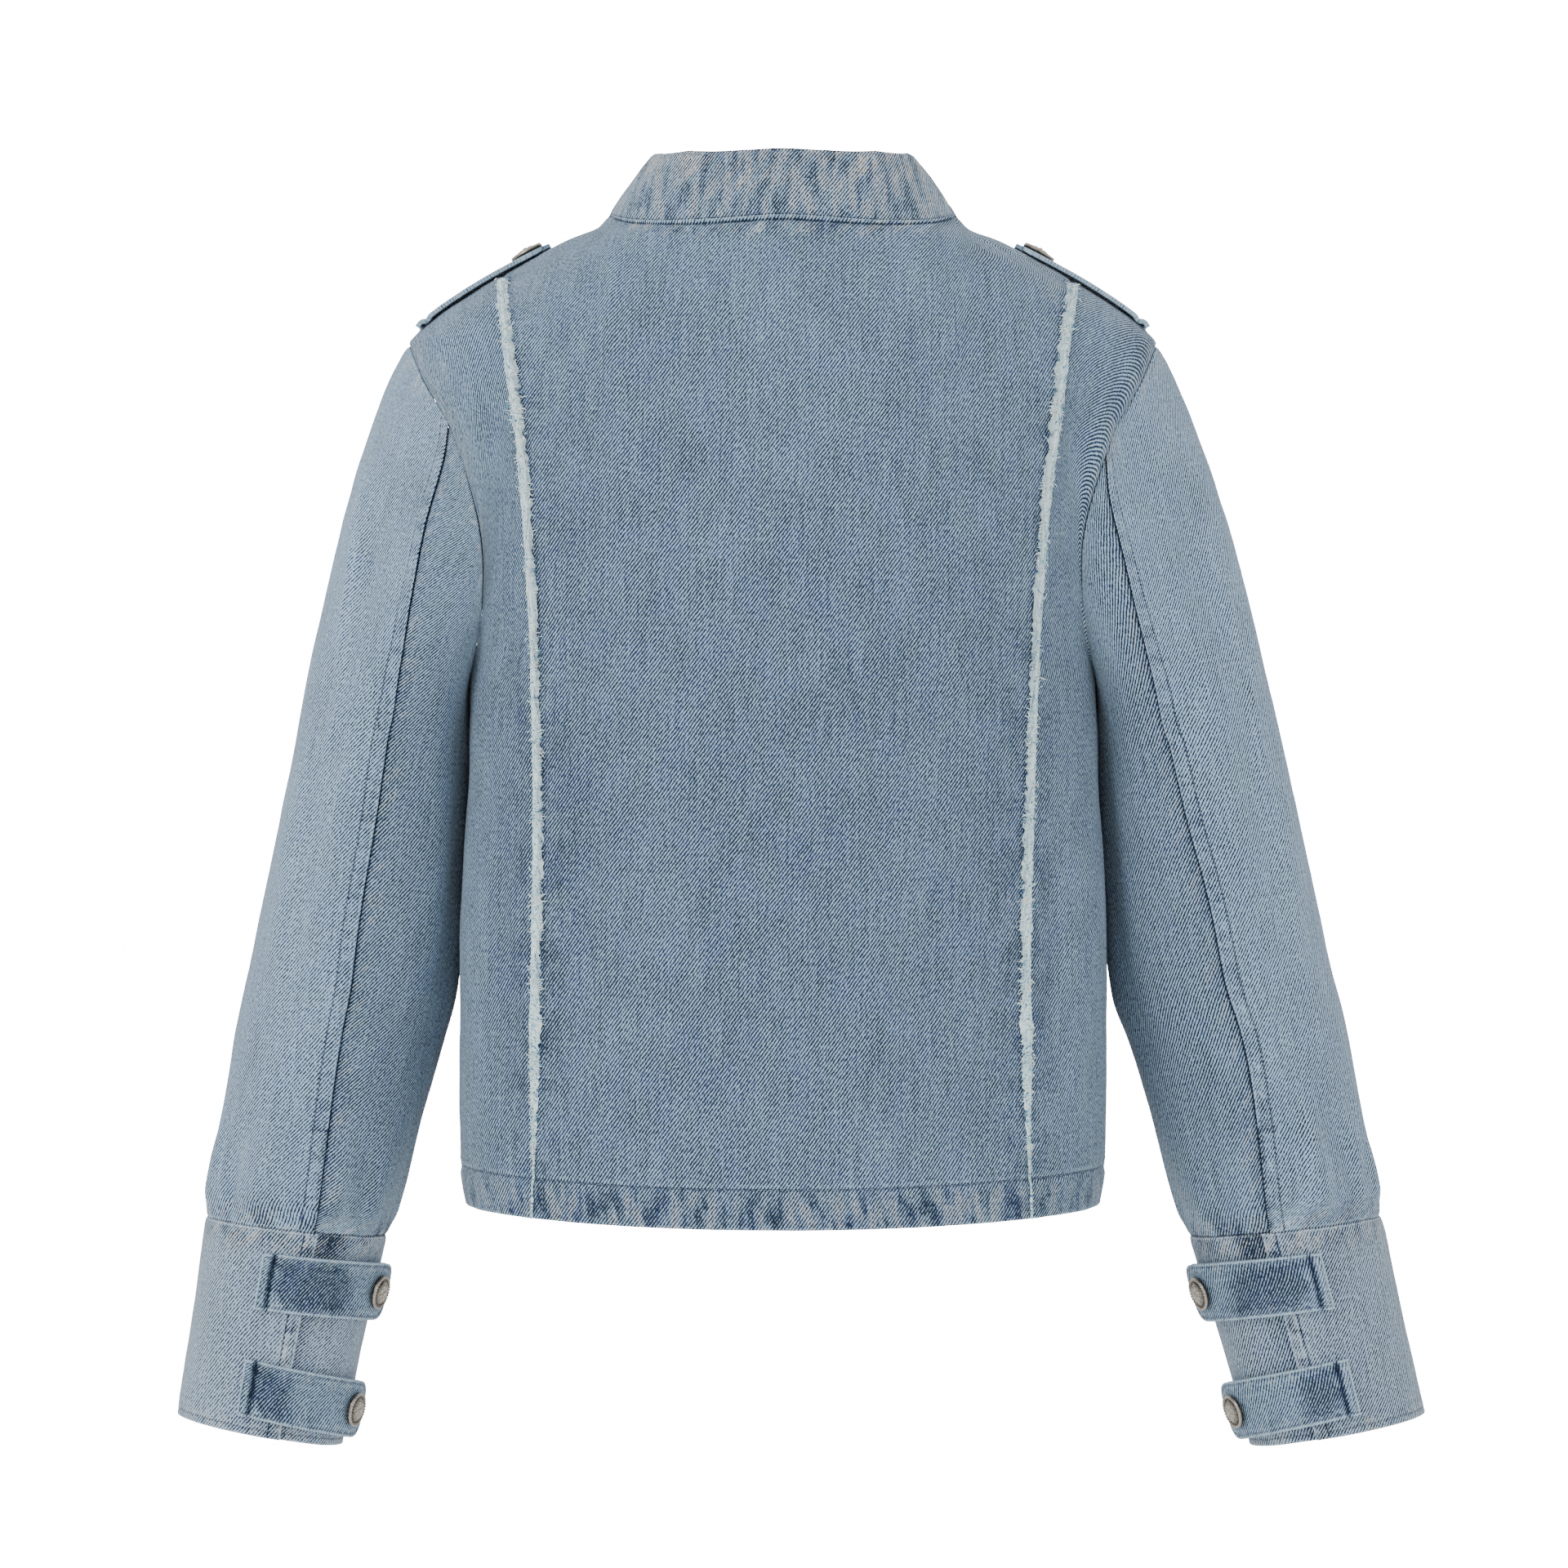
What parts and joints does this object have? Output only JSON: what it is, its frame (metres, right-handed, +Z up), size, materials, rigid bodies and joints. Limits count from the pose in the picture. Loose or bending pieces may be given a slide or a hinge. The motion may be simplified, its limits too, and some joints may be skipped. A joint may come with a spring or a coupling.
{
  "type": "denim jacket",
  "caption": "Cropped denim jacket with a stand collar, filled out as if worn: raw frayed back seams, hanging sleeves, strapped cuffs and shoulder tabs, hollow and open at neck, hem and cuffs.",
  "frame": {"origin": "centre of the neck opening, level with the neck points of the shoulders, where the garment rests on its wearer's shoulders", "axes": "+Z up, -Y the way the wearer faces, so the back of the jacket looks along +Y, +X the wearer's left"},
  "size_m": [0.6958, 0.2567, 0.7169],
  "materials": {
    "denim": "washed indigo twill with worn, lighter seams",
    "raw_edge": "loose undyed and pale blue threads",
    "button_metal": "antiqued silver-bronze, darkened in the hollows"
  },
  "bodies": {
    "root": {"back_centre": "denim", "back_side_left": "denim", "back_side_right": "denim", "front_left": "denim", "front_right": "denim", "front_band": "denim", "collar": "denim", "sleeve_upper_left": "denim", "sleeve_under_left": "denim", "sleeve_upper_right": "denim", "sleeve_under_right": "denim", "cuff_left": "denim", "cuff_right": "denim", "cuff_strap_upper_left": "denim", "cuff_strap_lower_left": "denim", "cuff_strap_upper_right": "denim", "cuff_strap_lower_right": "denim", "shoulder_tab_left": "denim", "shoulder_tab_right": "denim", "frayed_seam_left": "raw_edge", "frayed_seam_right": "raw_edge", "cuff_button_upper_left": "button_metal", "cuff_button_lower_left": "button_metal", "cuff_button_upper_right": "button_metal", "cuff_button_lower_right": "button_metal", "shoulder_button_left": "button_metal", "shoulder_button_right": "button_metal", "front_button_1": "button_metal", "front_button_2": "button_metal", "front_button_3": "button_metal", "front_button_4": "button_metal", "front_button_5": "button_metal", "front_button_6": "button_metal"}
  },
  "joints": []
}
